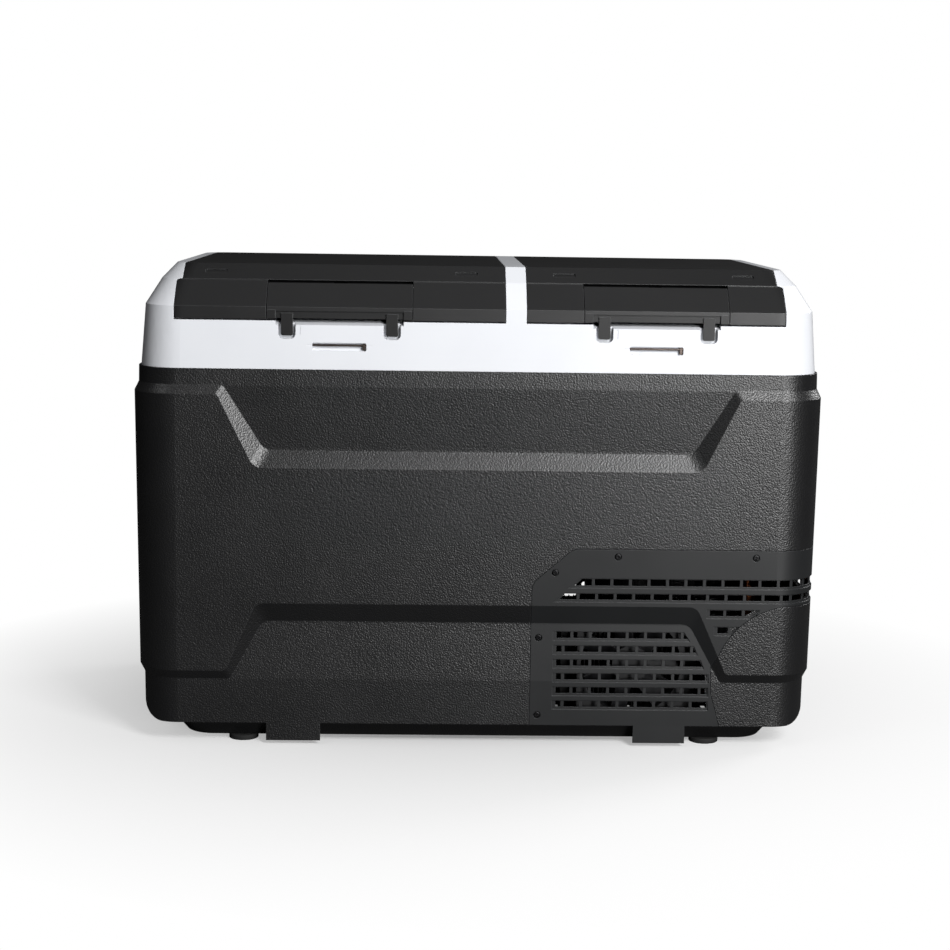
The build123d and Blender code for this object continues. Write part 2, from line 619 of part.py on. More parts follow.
for side, sign in (("left", -1), ("right", 1)):
    with BuildPart() as grip_cup:
        back = sign * 313.0
        lip = sign * 340.6
        block(sorted((back, lip)), (GRIP_Y[0] - 2.5, GRIP_Y[1] + 2.5), (GRIP_Z[0] - 2.5, GRIP_Z[1] + 2.5))
        block(sorted((lip - sign * 2.0, lip)), (GRIP_Y[0] - 9, GRIP_Y[1] + 9), (GRIP_Z[0] - 8, GRIP_Z[1] + 8))
        block(sorted((back + sign * 2.5, lip + sign * 5)), GRIP_Y, GRIP_Z, mode=Mode.SUBTRACT)
    save(grip_cup, f"grip_cup_{side}")

# ---------------------------------------------------------------- lids, latches and hinges
LID_TOP_WALL = TOP_Z - LID_WALL
PLATE_Z = (430.2, 432.2)


def lid_face_notches(side):
    """Cuts the two shallow notches of the lid's upper front slope, one near each end."""
    low, high = LID_SPANS[side]
    slope = math.atan2(TOP_Z - CREASE_Z, -138.0 - CREASE_Y)
    for middle in (low + 38.0, high - 38.0):
        plane = Plane(origin=(middle, -149.0, 474.7), x_dir=(1, 0, 0), z_dir=(0, -math.sin(slope), math.cos(slope)))
        with BuildSketch(plane.offset(-1.2)) as notch:
            RectangleRounded(22.0, 6.5, 1.5)
        extrude(notch.sketch, amount=4, mode=Mode.SUBTRACT)


def flap_pocket(side, grow, depth):
    """The space in the lid's front that holds the latch flap."""
    low, high = FLAP_SPANS[side]
    with BuildPart() as pocket:
        block((low - FLAP_GAP - grow, high + FLAP_GAP + grow), (-210, -140), (420, CREASE_Z + grow))
        add(top_form(depth), mode=Mode.SUBTRACT)
    return pocket.part


for side in LID_SPANS:
    low, high = LID_SPANS[side]
    flap_low, flap_high = FLAP_SPANS[side]
    with BuildPart() as barrel_hollow:
        rod((low + 36, HINGE_Y, HINGE_Z), (high - 36, HINGE_Y, HINGE_Z), HINGE_RADIUS - LID_WALL)
        block((low + 36, high - 36), (BARREL_Y - 1, HINGE_Y), (HINGE_Z - 20, LID_TOP_WALL))
        add(top_form(LID_WALL), mode=Mode.INTERSECT)
    with BuildPart() as lid_hollow:
        add(top_form(LID_WALL))
        add(lid_zone(side, -LID_WALL, 400), mode=Mode.INTERSECT)
        block((-400, 400), (-250, 250), (LID_TOP_WALL, 520), mode=Mode.SUBTRACT)
        block((-400, 400), (BARREL_Y, 250), (300, 520), mode=Mode.SUBTRACT)
        add(barrel_hollow.part)
        add(flap_pocket(side, LID_WALL, FLAP_POCKET + LID_WALL), mode=Mode.SUBTRACT)
    with BuildPart() as lid_shell:
        add(TOP_OUTER)
        add(lid_zone(side, 0, LID_SKIRT_Z), mode=Mode.INTERSECT)
        with BuildSketch(Plane.YZ.offset(-400)):
            with Locations((HINGE_Y + 30, HINGE_Z)):
                Rectangle(60, 100)
            with Locations((HINGE_Y, HINGE_Z)):
                Circle(HINGE_RADIUS, mode=Mode.SUBTRACT)
        extrude(amount=800, mode=Mode.SUBTRACT)
        add(lid_hollow.part, mode=Mode.SUBTRACT)
        add(flap_pocket(side, 0, FLAP_POCKET), mode=Mode.SUBTRACT)
        with BuildSketch(Plane.YZ.offset(-400)):
            with Locations((CREASE_Y, CREASE_Z)):
                Circle(0.9)
        extrude(amount=800, mode=Mode.SUBTRACT)
        lid_face_notches(side)
        rod((flap_low - 4, FLAP_PIN_Y, FLAP_PIN_Z), (flap_high + 4, FLAP_PIN_Y, FLAP_PIN_Z),
            FLAP_PIN_RADIUS + PIN_FIT, mode=Mode.SUBTRACT)
        for end, way in hinge_spots(side):
            rod((end + way, HINGE_Y, HINGE_Z), (end - way * 24, HINGE_Y, HINGE_Z),
                HINGE_PIN_RADIUS + PIN_FIT, mode=Mode.SUBTRACT)
    save(lid_shell, f"lid_shell_{side}")

for side in LID_SPANS:
    low, high = LID_SPANS[side]
    low = low + (LID_STEP if side == "left" else 0.0)
    high = high - (LID_STEP if side == "right" else 0.0)
    mouth_low, mouth_high = MOUTHS[side]
    plug_x = (mouth_low + 6.0, mouth_high - 6.0)
    plug_y = (MOUTH_Y[0] + 5.0, MOUTH_Y[1] - 5.0)
    with BuildPart() as lid_liner:
        block((low + 3.2, high - 3.2), (-180.9, BARREL_Y - 0.5), PLATE_Z)
        flap_low, flap_high = FLAP_SPANS[side]
        block((flap_low - 4.0, flap_high + 4.0), (-200, -165.0), (400, 440), mode=Mode.SUBTRACT)
        rounded_block(plug_x, plug_y, (414.0, PLATE_Z[1]), 17)
        fillet(lid_liner.faces().sort_by(Axis.Z)[0].edges(), 4.0)
        rounded_block((plug_x[0] + 2, plug_x[1] - 2), (plug_y[0] + 2, plug_y[1] - 2), (416.0, 440), 15,
                      mode=Mode.SUBTRACT)
    save(lid_liner, f"lid_liner_{side}")

    with BuildPart() as lid_foam:
        add(top_form(FLAP_POCKET + LID_WALL + 0.6))
        block((-400, 400), (-250, 250), (LID_TOP_WALL - 0.5, 520), mode=Mode.SUBTRACT)
        block((low + 3.4, high - 3.4), (-210, BARREL_Y - 1.0), (PLATE_Z[1] + 0.3, 520), mode=Mode.INTERSECT)
        rounded_block((plug_x[0] + 2.4, plug_x[1] - 2.4), (plug_y[0] + 2.4, plug_y[1] - 2.4),
                      (416.4, PLATE_Z[1] + 2), 14.6)
    save(lid_foam, f"lid_foam_{side}")

    gasket_z = (RIM_Z + 0.3, PLATE_Z[0])
    with BuildPart() as lid_gasket:
        rounded_block((mouth_low - 7, mouth_high + 7), (MOUTH_Y[0] - 7, MOUTH_Y[1] + 7), gasket_z, MOUTH_RADIUS + 7)
        rounded_block((mouth_low - 1, mouth_high + 1), (MOUTH_Y[0] - 1, MOUTH_Y[1] + 1), gasket_z, MOUTH_RADIUS + 1,
                      mode=Mode.SUBTRACT)
    save(lid_gasket, f"lid_gasket_{side}")

    with BuildPart() as hinge_pins:
        for end, way in hinge_spots(side):
            rod((end - way * 23, HINGE_Y, HINGE_Z), (end + way * 9.4, HINGE_Y, HINGE_Z), HINGE_PIN_RADIUS)
    save(hinge_pins, f"hinge_pins_{side}")

SPRING_GAP = 7.0
KNUCKLE_RADIUS = 4.4
for side in LID_SPANS:
    low, high = FLAP_SPANS[side]
    middle = (low + high) / 2
    with BuildPart() as latch_flap:
        with BuildSketch(Plane.YZ.offset(low)):
            with BuildLine():
                outside = Polyline((-162.3, 465.2), (-184.0, 442.0), (-184.2, FLAP_EDGE_Z), (-179.0, FLAP_EDGE_Z))
                inside = Polyline(outside @ 1, (-179.0, 443.3), (-161.0, 461.5))
                Line(inside @ 1, outside @ 0)
            make_face()
            with Locations((FLAP_PIN_Y, FLAP_PIN_Z)):
                Circle(KNUCKLE_RADIUS)
        extrude(amount=high - low)
        fillet(latch_flap.edges().filter_by(Axis.X).group_by(Axis.Z)[-1], 0.8)
        for leg in ((low, low + FLAP_LEG), (high - FLAP_LEG, high)):
            block(leg, (-184.4, -180.4), (LID_SKIRT_Z + 0.4, FLAP_EDGE_Z + 1))
        block((low + FLAP_LEG - 1, high - FLAP_LEG + 1), (-182.2, -180.4), (431.0, FLAP_EDGE_Z + 1))
        for prong_x in latch_prongs(side):
            with BuildSketch(Plane.XZ.offset(180.4)) as prong:
                with Locations((prong_x, (PRONG_TIP_Z + 436.0) / 2)):
                    Rectangle(PRONG_WIDTH, 436.0 - PRONG_TIP_Z)
                fillet(prong.vertices().group_by(Axis.Y)[0], 1.6)
            extrude(amount=3.6)
        rod((low - 1, FLAP_PIN_Y, FLAP_PIN_Z), (high + 1, FLAP_PIN_Y, FLAP_PIN_Z), FLAP_PIN_RADIUS + 0.1,
            mode=Mode.SUBTRACT)
        rod((middle - SPRING_GAP, FLAP_PIN_Y, FLAP_PIN_Z), (middle + SPRING_GAP, FLAP_PIN_Y, FLAP_PIN_Z), 4.9,
            mode=Mode.SUBTRACT)
    save(latch_flap, f"latch_flap_{side}")

    with BuildPart() as latch_pin:
        rod((low - 3.2, FLAP_PIN_Y, FLAP_PIN_Z), (high + 3.2, FLAP_PIN_Y, FLAP_PIN_Z), FLAP_PIN_RADIUS)
    save(latch_pin, f"latch_pin_{side}")

    with BuildPart() as latch_spring:
        with BuildLine() as coil:
            Helix(pitch=1.6, height=9.6, radius=2.4, center=(middle - 4.8, FLAP_PIN_Y, FLAP_PIN_Z),
                  direction=(1, 0, 0))
        with BuildSketch(Plane(origin=coil.line @ 0, z_dir=coil.line % 0)):
            Circle(0.4)
        sweep(path=coil.line)
    save(latch_spring, f"latch_spring_{side}")

# ---------------------------------------------------------------- compressor, condenser and fan
GROMMET_Z = (32.0, 46.0)
PLATE_TOP = 48.5
with BuildPart() as compressor_grommets:
    for spot_x, spot_y in MOUNT_SPOTS:
        with BuildSketch(Plane(origin=(spot_x, spot_y, 0), x_dir=(1, 0, 0), z_dir=(0, -1, 0))):
            with BuildLine():
                Polyline((4.0, GROMMET_Z[0]), (9, GROMMET_Z[0]), (9, 37), (7, 39), (9, 41), (9, GROMMET_Z[1]),
                         (4.0, GROMMET_Z[1]), close=True)
            make_face()
        revolve(axis=Axis((spot_x, spot_y, 0), (0, 0, 1)))
save(compressor_grommets, "compressor_grommets")

with BuildPart() as compressor_plate:
    rounded_block((COMPRESSOR_X - 74, COMPRESSOR_X + 74), (COMPRESSOR_Y - 55, COMPRESSOR_Y + 55),
                  (GROMMET_Z[1], PLATE_TOP), 10)
    for spot_x, spot_y in MOUNT_SPOTS:
        rod((spot_x, spot_y, 40), (spot_x, spot_y, 60), 3.6, mode=Mode.SUBTRACT)
save(compressor_plate, "compressor_plate")

with BuildPart() as compressor_bolts:
    for spot_x, spot_y in MOUNT_SPOTS:
        rod((spot_x, spot_y, 14), (spot_x, spot_y, PLATE_TOP), 3.0)
        with BuildSketch(Plane.XY.offset(PLATE_TOP)):
            with Locations((spot_x, spot_y)):
                RegularPolygon(5.8, 6)
        extrude(amount=4.5)
save(compressor_bolts, "compressor_bolts")

SHELL_RADIUS = 52.0
SHELL_TOP = 168.0
with BuildPart() as compressor:
    with BuildSketch(Plane(origin=(COMPRESSOR_X, COMPRESSOR_Y, 0), x_dir=(1, 0, 0), z_dir=(0, -1, 0))):
        with BuildLine():
            foot = Polyline((0, PLATE_TOP), (30, PLATE_TOP), (30, 56), (SHELL_RADIUS, 74), (SHELL_RADIUS, 104))
            seam = Polyline(foot @ 1, (SHELL_RADIUS + 4, 104), (SHELL_RADIUS + 4, 108), (SHELL_RADIUS - 2, 108))
            dome = Line(seam @ 1, (SHELL_RADIUS - 2, 142))
            TangentArc((0, SHELL_TOP), dome @ 1, tangent=(1, 0))
            Line((0, SHELL_TOP), foot @ 0)
        make_face()
    revolve(axis=Axis((COMPRESSOR_X, COMPRESSOR_Y, 0), (0, 0, 1)))
    block((COMPRESSOR_X + 40, COMPRESSOR_X + 72), (COMPRESSOR_Y - 22, COMPRESSOR_Y + 22), (84, 126))
    rod((COMPRESSOR_X - 30, COMPRESSOR_Y - 20, 140), (COMPRESSOR_X - 30, COMPRESSOR_Y - 20, 172), 4.0)
    rod((COMPRESSOR_X + 10, COMPRESSOR_Y + 34, 140), (COMPRESSOR_X + 10, COMPRESSOR_Y + 34, 172), 5.0)
save(compressor, "compressor")

SHROUD_Y = (FAN_FRONT + FAN_DEPTH + 0.2, FAN_FRONT + FAN_DEPTH + 2.2)
CONDENSER_X = (88.0, 228.0)
CONDENSER_Y = (SHROUD_Y[1] + 0.3, SHROUD_Y[1] + 36.3)
CONDENSER_Z = (27.0, 141.0)
FIN_PITCH = 5.0
with BuildPart() as condenser:
    fins = round((CONDENSER_X[1] - CONDENSER_X[0]) / FIN_PITCH) + 1
    middle_y = sum(CONDENSER_Y) / 2
    middle_z = sum(CONDENSER_Z) / 2
    with Locations((sum(CONDENSER_X) / 2, middle_y, middle_z)):
        with GridLocations(FIN_PITCH, 1, fins, 1):
            Box(1.0, CONDENSER_Y[1] - CONDENSER_Y[0], CONDENSER_Z[1] - CONDENSER_Z[0])
    for row in range(5):
        tube_z = CONDENSER_Z[0] + 13 + row * 22
        for tube_y in (middle_y - 9, middle_y + 9):
            rod((CONDENSER_X[0] - 6, tube_y, tube_z), (CONDENSER_X[1] + 6, tube_y, tube_z), 3.5)
save(condenser, "condenser")

with BuildPart() as fan_shroud:
    block((CONDENSER_X[0], CONDENSER_X[1]), SHROUD_Y, CONDENSER_Z)
    rod((FAN_X, SHROUD_Y[0] - 1, FAN_Z), (FAN_X, SHROUD_Y[1] + 1, FAN_Z), 51.0, mode=Mode.SUBTRACT)
save(fan_shroud, "fan_shroud")

FAN_HUB_RADIUS = 19.0
FAN_PLANE = Plane(origin=(FAN_X, FAN_FRONT, FAN_Z), x_dir=(1, 0, 0), z_dir=(0, 1, 0))
with BuildPart() as fan_frame:
    with BuildSketch(FAN_PLANE):
        RectangleRounded(FAN_SIDE, FAN_SIDE, 6)
        Circle(51.0, mode=Mode.SUBTRACT)
        with GridLocations(96, 96, 2, 2):
            Circle(2.2, mode=Mode.SUBTRACT)
    extrude(amount=FAN_DEPTH)
    with BuildSketch(FAN_PLANE.offset(FAN_DEPTH - 4)):
        Circle(FAN_HUB_RADIUS)
        with PolarLocations(35.0, 3, 30):
            Rectangle(36, 5)
    extrude(amount=4)
    with BuildSketch(FAN_PLANE.offset(FAN_DEPTH - 12)):
        Circle(4.0)
    extrude(amount=10)
    with BuildSketch(FAN_PLANE.offset(FAN_DEPTH - 13)):
        Circle(1.55)
    extrude(amount=10, mode=Mode.SUBTRACT)
save(fan_frame, "fan_frame")

BLADES = 7
with BuildPart() as fan_rotor:
    with BuildSketch(FAN_PLANE.offset(2)):
        Circle(FAN_HUB_RADIUS)
    extrude(amount=18.0)
    with BuildSketch(FAN_PLANE.offset(4)):
        Circle(FAN_HUB_RADIUS - 2)
    extrude(amount=20.0, mode=Mode.SUBTRACT)
    with BuildSketch(FAN_PLANE.offset(3)):
        Circle(1.5)
    extrude(amount=18.5)
    for blade in range(BLADES):
        angle = 2 * math.pi * blade / BLADES
        out = Vector(math.cos(angle), 0, math.sin(angle))
        across = Vector(-math.sin(angle), 0, math.cos(angle))
        lean = (across + Vector(0, 0.75, 0)).normalized()
        root = Vector(FAN_X, FAN_FRONT + 11, FAN_Z) + out * (FAN_HUB_RADIUS - 1)
        with BuildSketch(Plane(origin=root, x_dir=lean, z_dir=out)):
            Rectangle(21.0, 1.6)
        extrude(amount=31.0)
save(fan_rotor, "fan_rotor")

with BuildPart() as fan_screws:
    for corner_x in (FAN_X - 48, FAN_X + 48):
        for corner_z in (FAN_Z - 48, FAN_Z + 48):
            rod((corner_x, FAN_FRONT, corner_z), (corner_x, FAN_FRONT + FAN_DEPTH, corner_z), 2.0)
            rod((corner_x, FAN_FRONT - 1.8, corner_z), (corner_x, FAN_FRONT, corner_z), 3.6)
save(fan_screws, "fan_screws")

DRIVER_X = (264.0, 318.0)
with BuildPart() as driver_module:
    block(DRIVER_X, (40, 140), (28, 34))
    block((DRIVER_X[0] + 4, DRIVER_X[1] - 4), (46, 134), (34, 58))
    for fin in range(9):
        fin_y = 50 + fin * 10
        block((DRIVER_X[0] + 6, DRIVER_X[1] - 6), (fin_y, fin_y + 2), (58, 74))
save(driver_module, "driver_module")

DRIER_X = 292.0
DRIER_Y = -60.0
with BuildPart() as filter_drier:
    with BuildSketch(Plane(origin=(DRIER_X, DRIER_Y, 0), x_dir=(1, 0, 0), z_dir=(0, -1, 0))):
        with BuildLine():
            Polyline((0, 60), (3, 60), (3, 66), (9, 76), (9, 134), (3, 144), (3, 152), (0, 152), close=True)
        make_face()
    revolve(axis=Axis((DRIER_X, DRIER_Y, 0), (0, 0, 1)))
save(filter_drier, "filter_drier")

tube_y = middle_y + 9
upper_tube_z = CONDENSER_Z[0] + 13 + 4 * 22
with BuildPart() as discharge_tube:
    start = (COMPRESSOR_X - 30, COMPRESSOR_Y - 20, 172.2)
    add(bent_tube([start, (start[0], start[1], 192), (70, start[1], 192), (70, tube_y, 192),
                   (70, tube_y, upper_tube_z), (CONDENSER_X[0] - 6.2, tube_y, upper_tube_z)], 10.0, 3.0))
save(discharge_tube, "discharge_tube")

with BuildPart() as liquid_tube:
    low_tube_z = CONDENSER_Z[0] + 13
    add(bent_tube([(CONDENSER_X[1] + 6.2, tube_y, low_tube_z), (DRIER_X, tube_y, low_tube_z),
                   (DRIER_X, DRIER_Y, low_tube_z), (DRIER_X, DRIER_Y, 59.8)], 8.0, 2.5))
save(liquid_tube, "liquid_tube")

with BuildPart() as suction_tube:
    start = (COMPRESSOR_X + 10, COMPRESSOR_Y + 34, 172.2)
    end = (SUCTION_TUBE["x"], SUCTION_TUBE["y"])
    add(bent_tube([start, (start[0], start[1], 194), (end[0], start[1], 194), (*end, 194), (*end, TUBE_TOP_Z)],
                  10.0, SUCTION_TUBE["radius"]))
save(suction_tube, "suction_tube")

with BuildPart() as capillary_tube:
    end = (CAPILLARY_TUBE["x"], CAPILLARY_TUBE["y"])
    add(bent_tube([(DRIER_X, DRIER_Y, 152.2), (DRIER_X, DRIER_Y, 180), (*end, 180), (*end, TUBE_TOP_Z)],
                  8.0, CAPILLARY_TUBE["radius"]))
save(capillary_tube, "capillary_tube")

# ---------------------------------------------------------------- controls and power inlet
BUTTONS = {"power": -50.0, "set": 24.0, "down": 38.0, "up": 52.0}
BUTTON_RADIUS = 5.0
DISPLAY_SIZE = (50.0, 26.0)
DISPLAY_Y = -14.0
with BuildPart() as control_bezel:
    with BuildSketch(CONTROL_PLANE.offset(-2.1)):
        RectangleRounded(PANEL_SIZE[0] - 0.6, PANEL_SIZE[1] - 0.6, 7.7)
    extrude(amount=3.0)
    with BuildSketch(CONTROL_PLANE.offset(-0.9)):
        with Locations((DISPLAY_Y, 0)):
            RectangleRounded(DISPLAY_SIZE[0] + 0.4, DISPLAY_SIZE[1] + 0.4, 3.2)
    extrude(amount=5.0, mode=Mode.SUBTRACT)
    with BuildSketch(CONTROL_PLANE.offset(-3)):
        for button_y in BUTTONS.values():
            with Locations((button_y, 0)):
                Circle(BUTTON_RADIUS + 0.35)
    extrude(amount=6.0, mode=Mode.SUBTRACT)
save(control_bezel, "control_bezel")

with BuildPart() as display_window:
    with BuildSketch(CONTROL_PLANE.offset(-0.8)):
        with Locations((DISPLAY_Y, 0)):
            RectangleRounded(*DISPLAY_SIZE, 3)
    extrude(amount=1.5)
save(display_window, "display_window")

for name, button_y in BUTTONS.items():
    with BuildPart() as button:
        with BuildSketch(CONTROL_PLANE.offset(-1.2)):
            with Locations((button_y, 0)):
                Circle(BUTTON_RADIUS)
        extrude(amount=2.9)
        fillet(button.faces().sort_by(Axis.X)[-1].edges(), 0.6)
    save(button, f"button_{name}")

SOCKET_FACE = 184.0
with BuildPart() as dc_inlet_socket:
    rod((SOCKET_X, 178, SOCKET_Z), (SOCKET_X, SOCKET_FACE, SOCKET_Z), SOCKET_RADIUS + 4)
    add(TUB_OUTER, mode=Mode.SUBTRACT)
    rod((SOCKET_X, 156, SOCKET_Z), (SOCKET_X, SOCKET_FACE, SOCKET_Z), SOCKET_RADIUS)
    rod((SOCKET_X, 162, SOCKET_Z), (SOCKET_X, SOCKET_FACE + 5, SOCKET_Z), 9.0, mode=Mode.SUBTRACT)
    for pin_x in (SOCKET_X - 3.6, SOCKET_X + 3.6):
        rod((pin_x, 158, SOCKET_Z), (pin_x, SOCKET_FACE - 5, SOCKET_Z), 1.2)
save(dc_inlet_socket, "dc_inlet_socket")
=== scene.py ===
# %% [markdown]
# # A dual-zone compressor cooler fridge
# The fridge is a moulded black tub with a white frame on top, two hinged lids with pull latches, and a vent
# grille over its compressor bay. Its measured parts come from the CAD frame. Here they get their finishes,
# and the small pieces that a hand touches or an eye rests on are modelled again with softer, truer shapes.

# %% Load the measured parts
import json
import math
import bpy
from mathutils import Matrix, Vector


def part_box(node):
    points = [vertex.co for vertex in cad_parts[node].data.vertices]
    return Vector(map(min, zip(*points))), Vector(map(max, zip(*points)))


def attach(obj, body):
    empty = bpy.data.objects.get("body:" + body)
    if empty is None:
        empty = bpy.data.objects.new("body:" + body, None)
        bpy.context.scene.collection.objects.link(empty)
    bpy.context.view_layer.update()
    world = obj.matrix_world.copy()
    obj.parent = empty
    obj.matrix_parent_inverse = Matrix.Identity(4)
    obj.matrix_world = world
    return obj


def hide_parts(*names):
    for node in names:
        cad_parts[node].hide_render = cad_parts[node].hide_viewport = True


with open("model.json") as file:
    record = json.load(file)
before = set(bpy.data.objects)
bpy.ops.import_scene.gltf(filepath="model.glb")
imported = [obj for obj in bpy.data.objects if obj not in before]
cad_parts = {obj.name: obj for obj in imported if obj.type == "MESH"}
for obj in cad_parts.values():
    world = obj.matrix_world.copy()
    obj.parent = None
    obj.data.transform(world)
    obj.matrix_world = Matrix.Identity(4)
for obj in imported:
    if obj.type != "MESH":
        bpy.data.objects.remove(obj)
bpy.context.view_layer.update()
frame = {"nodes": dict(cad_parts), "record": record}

nodes = frame["nodes"]
MM = 0.001
print("parts loaded:", len(nodes))

# %% [markdown]
# ## Colours and nodes
# Paint and plastic makers give colours as sRGB, while light adds up in linear values, so one function turns
# the hex code of a colour into linear numbers. A second one adds any shader node with its values and links.


# %% Two helpers for every material
def linear(code):
    """The linear colour of an sRGB hex code such as #2b2c2e."""
    parts = [int(code[i:i + 2], 16) / 255 for i in (1, 3, 5)]
    return [p / 12.92 if p <= 0.04045 else ((p + 0.055) / 1.055) ** 2.4 for p in parts] + [1.0]


def add_node(tree, kind, values=None, links=None, **settings):
    """Adds one node, sets its options and input values, and links other nodes' outputs into it."""
    node = tree.nodes.new(kind)
    for name, value in settings.items():
        setattr(node, name, value)
    for name, value in (values or {}).items():
        node.inputs[name].default_value = value
    for name, output in (links or {}).items():
        tree.links.new(output, node.inputs[name])
    return node


# %% [markdown]
# ## How a moulded or rolled surface is made up
# Every real surface has three things besides its colour. Its tone drifts a little over some centimetres, its
# skin has a grain with a real size in millimetres, and its edges are never perfectly sharp, so they catch a
# thin line of light. The recipe below builds these three for any solid, from sizes in millimetres. It rounds
# the shading of the edges, and it also paints that line of light into the colour as a lighter edge colour, a
# painted highlight. Object coordinates are in metres, so a pattern of p millimetres has a scale of 1000 / p.


# %% The recipe for a solid's surface
def surface(name, colour, drift, roughness, grain, depth, pebbles=False, metallic=0.0, edge=None,
            edge_size=0.7, coat=0.0, stretch=(1, 1, 1), drift_size=60.0, ior=1.5, gloss=0.5):
    """A material: colour and drift are hex codes, grain and depth are in mm, edge is a lighter colour painted
    along the edges as a highlight.
    """
    material = bpy.data.materials.new(name)
    material.use_nodes = True
    tree = material.node_tree
    tree.nodes.clear()
    place = add_node(tree, "ShaderNodeTexCoord").outputs["Object"]
    grain_place = add_node(tree, "ShaderNodeMapping", {"Scale": stretch}, {"Vector": place}).outputs["Vector"]
    cloud = add_node(tree, "ShaderNodeTexNoise", {"Scale": 1000 / drift_size, "Detail": 4.0},
                     {"Vector": place})
    base = add_node(tree, "ShaderNodeMix", {6: linear(colour), 7: linear(drift)}, {0: cloud.outputs["Fac"]},
                    data_type="RGBA").outputs[2]
    if pebbles:
        skin = add_node(tree, "ShaderNodeTexVoronoi", {"Scale": 1000 / grain, "Smoothness": 0.6},
                        {"Vector": grain_place}, feature="SMOOTH_F1").outputs["Distance"]
    else:
        skin = add_node(tree, "ShaderNodeTexNoise", {"Scale": 1000 / grain, "Detail": 3.0},
                        {"Vector": grain_place}).outputs["Fac"]
    rounded = add_node(tree, "ShaderNodeBevel", {"Radius": edge_size * MM}, samples=4).outputs["Normal"]
    bump = add_node(tree, "ShaderNodeBump", {"Distance": depth * MM, "Strength": 1.0},
                    {"Height": skin, "Normal": rounded}, invert=pebbles)
    # Painted highlight: where the rounded normal turns away from the flat one, the base colour is mixed
    # towards the lighter edge colour, so a line of light is painted into the colour along the edges.
    if edge:
        flat = add_node(tree, "ShaderNodeNewGeometry").outputs["Normal"]
        turn = add_node(tree, "ShaderNodeVectorMath", None, {0: rounded, 1: flat}, operation="DOT_PRODUCT")
        painted_edge_highlight = add_node(tree, "ShaderNodeMapRange",
                        {"From Min": 0.99, "From Max": 0.90, "To Min": 0.0, "To Max": 1.0},
                        {"Value": turn.outputs["Value"]})
        base = add_node(tree, "ShaderNodeMix", {7: linear(edge)}, {0: painted_edge_highlight.outputs["Result"], 6: base},
                        data_type="RGBA").outputs[2]
    shine = add_node(tree, "ShaderNodeMapRange", {"To Min": roughness - 0.05, "To Max": roughness + 0.05},
                     {"Value": cloud.outputs["Fac"]})
    shader = add_node(tree, "ShaderNodeBsdfPrincipled",
                      {"Metallic": metallic, "IOR": ior, "Coat Weight": coat, "Coat Roughness": 0.15,
                       "Specular IOR Level": gloss},
                      {"Base Color": base, "Roughness": shine.outputs["Result"],
                       "Normal": bump.outputs["Normal"]})
    add_node(tree, "ShaderNodeOutputMaterial", None, {"Surface": shader.outputs["BSDF"]})
    print("finish made:", name)
    return material


# %% [markdown]
# ## The plastics
# The tub is injection-moulded polypropylene with a pebble grain eroded into its mould, about 1.3 mm across,
# which gives small glints. The lids are ABS with a much finer grain, so they look quieter. The white frame is
# nearly smooth ABS, which shows soft reflections and a faint ripple. The grille has almost no grain.

# %% Finishes of the moulded parts
# Each edge colour below is a lighter colour painted along the edges as a highlight.
pebbled_polypropylene = surface("pebbled_polypropylene", "#111112", "#161617", 0.38, 1.5, 0.27, pebbles=True,
                                edge="#2c2c2e", edge_size=1.2, gloss=0.78)
smooth_polypropylene = surface("smooth_polypropylene", "#1b1c1d", "#202122", 0.42, 0.8, 0.02, edge="#3c3d3f")
fine_grained_abs = surface("fine_grained_abs", "#0f0f10", "#131314", 0.44, 0.7, 0.05, edge="#4c4d4e",
                           edge_size=0.7)
white_abs = surface("white_abs", "#e2e4e9", "#e8eaee", 0.3, 6.0, 0.01, edge_size=1.0, coat=0.15)
bin_polypropylene = surface("bin_polypropylene", "#c4c8cc", "#cbced2", 0.36, 5.0, 0.015)
polyurethane_foam = surface("polyurethane_foam", "#e3d7a8", "#d8c88f", 0.9, 1.2, 0.3, pebbles=True)
glass_filled_nylon = surface("glass_filled_nylon", "#1d1d1f", "#232325", 0.5, 0.9, 0.03, edge="#3c3c3e")
glossy_abs = surface("glossy_abs", "#18191b", "#1c1d1f", 0.14, 8.0, 0.004, coat=0.4, edge="#3a3b3d")
smoked_acrylic = surface("smoked_acrylic", "#050608", "#07080b", 0.09, 12.0, 0.001, coat=0.6, ior=1.49)

# %% [markdown]
# ## Rubber and metal
# Rubber takes up light at its matte skin. Zinc plating on screws and pins is bright and slightly brushed
# along its length. Hot-dipped sheet has a spangle some millimetres wide. Copper tubes darken in patches, and
# the compressor's steel shell is sprayed with black enamel that keeps a light orange-peel ripple.

# %% Finishes of the rubber and metal parts
moulded_rubber = surface("moulded_rubber", "#171717", "#1d1d1d", 0.82, 0.7, 0.05)
grey_silicone = surface("grey_silicone", "#76787b", "#7d7f82", 0.62, 0.6, 0.03, ior=1.41)
zinc_plated_steel = surface("zinc_plated_steel", "#a9aaac", "#b7b8ba", 0.32, 0.5, 0.01, metallic=1.0,
                            stretch=(0.05, 1, 1), drift_size=15.0)
spangled_zinc_sheet = surface("spangled_zinc_sheet", "#9b9ea1", "#b4b7ba", 0.4, 7.0, 0.01, pebbles=True,
                              metallic=1.0, drift_size=9.0)
mill_aluminium = surface("mill_aluminium", "#c3c5c7", "#cfd1d3", 0.35, 0.6, 0.01, metallic=1.0,
                         stretch=(0.05, 1, 1))
drawn_copper = surface("drawn_copper", "#b8704a", "#8f5236", 0.3, 0.7, 0.01, metallic=1.0, drift_size=22.0)
black_zinc_plated_steel = surface("black_zinc_plated_steel", "#2b2b2c", "#343435", 0.38, 0.5, 0.01,
                                  metallic=1.0, drift_size=8.0)
# Its edge colour is a lighter colour painted along the edges as a highlight.
black_enamel = surface("black_enamel", "#121213", "#171718", 0.25, 2.5, 0.02, coat=0.3, edge="#2c2c2d")
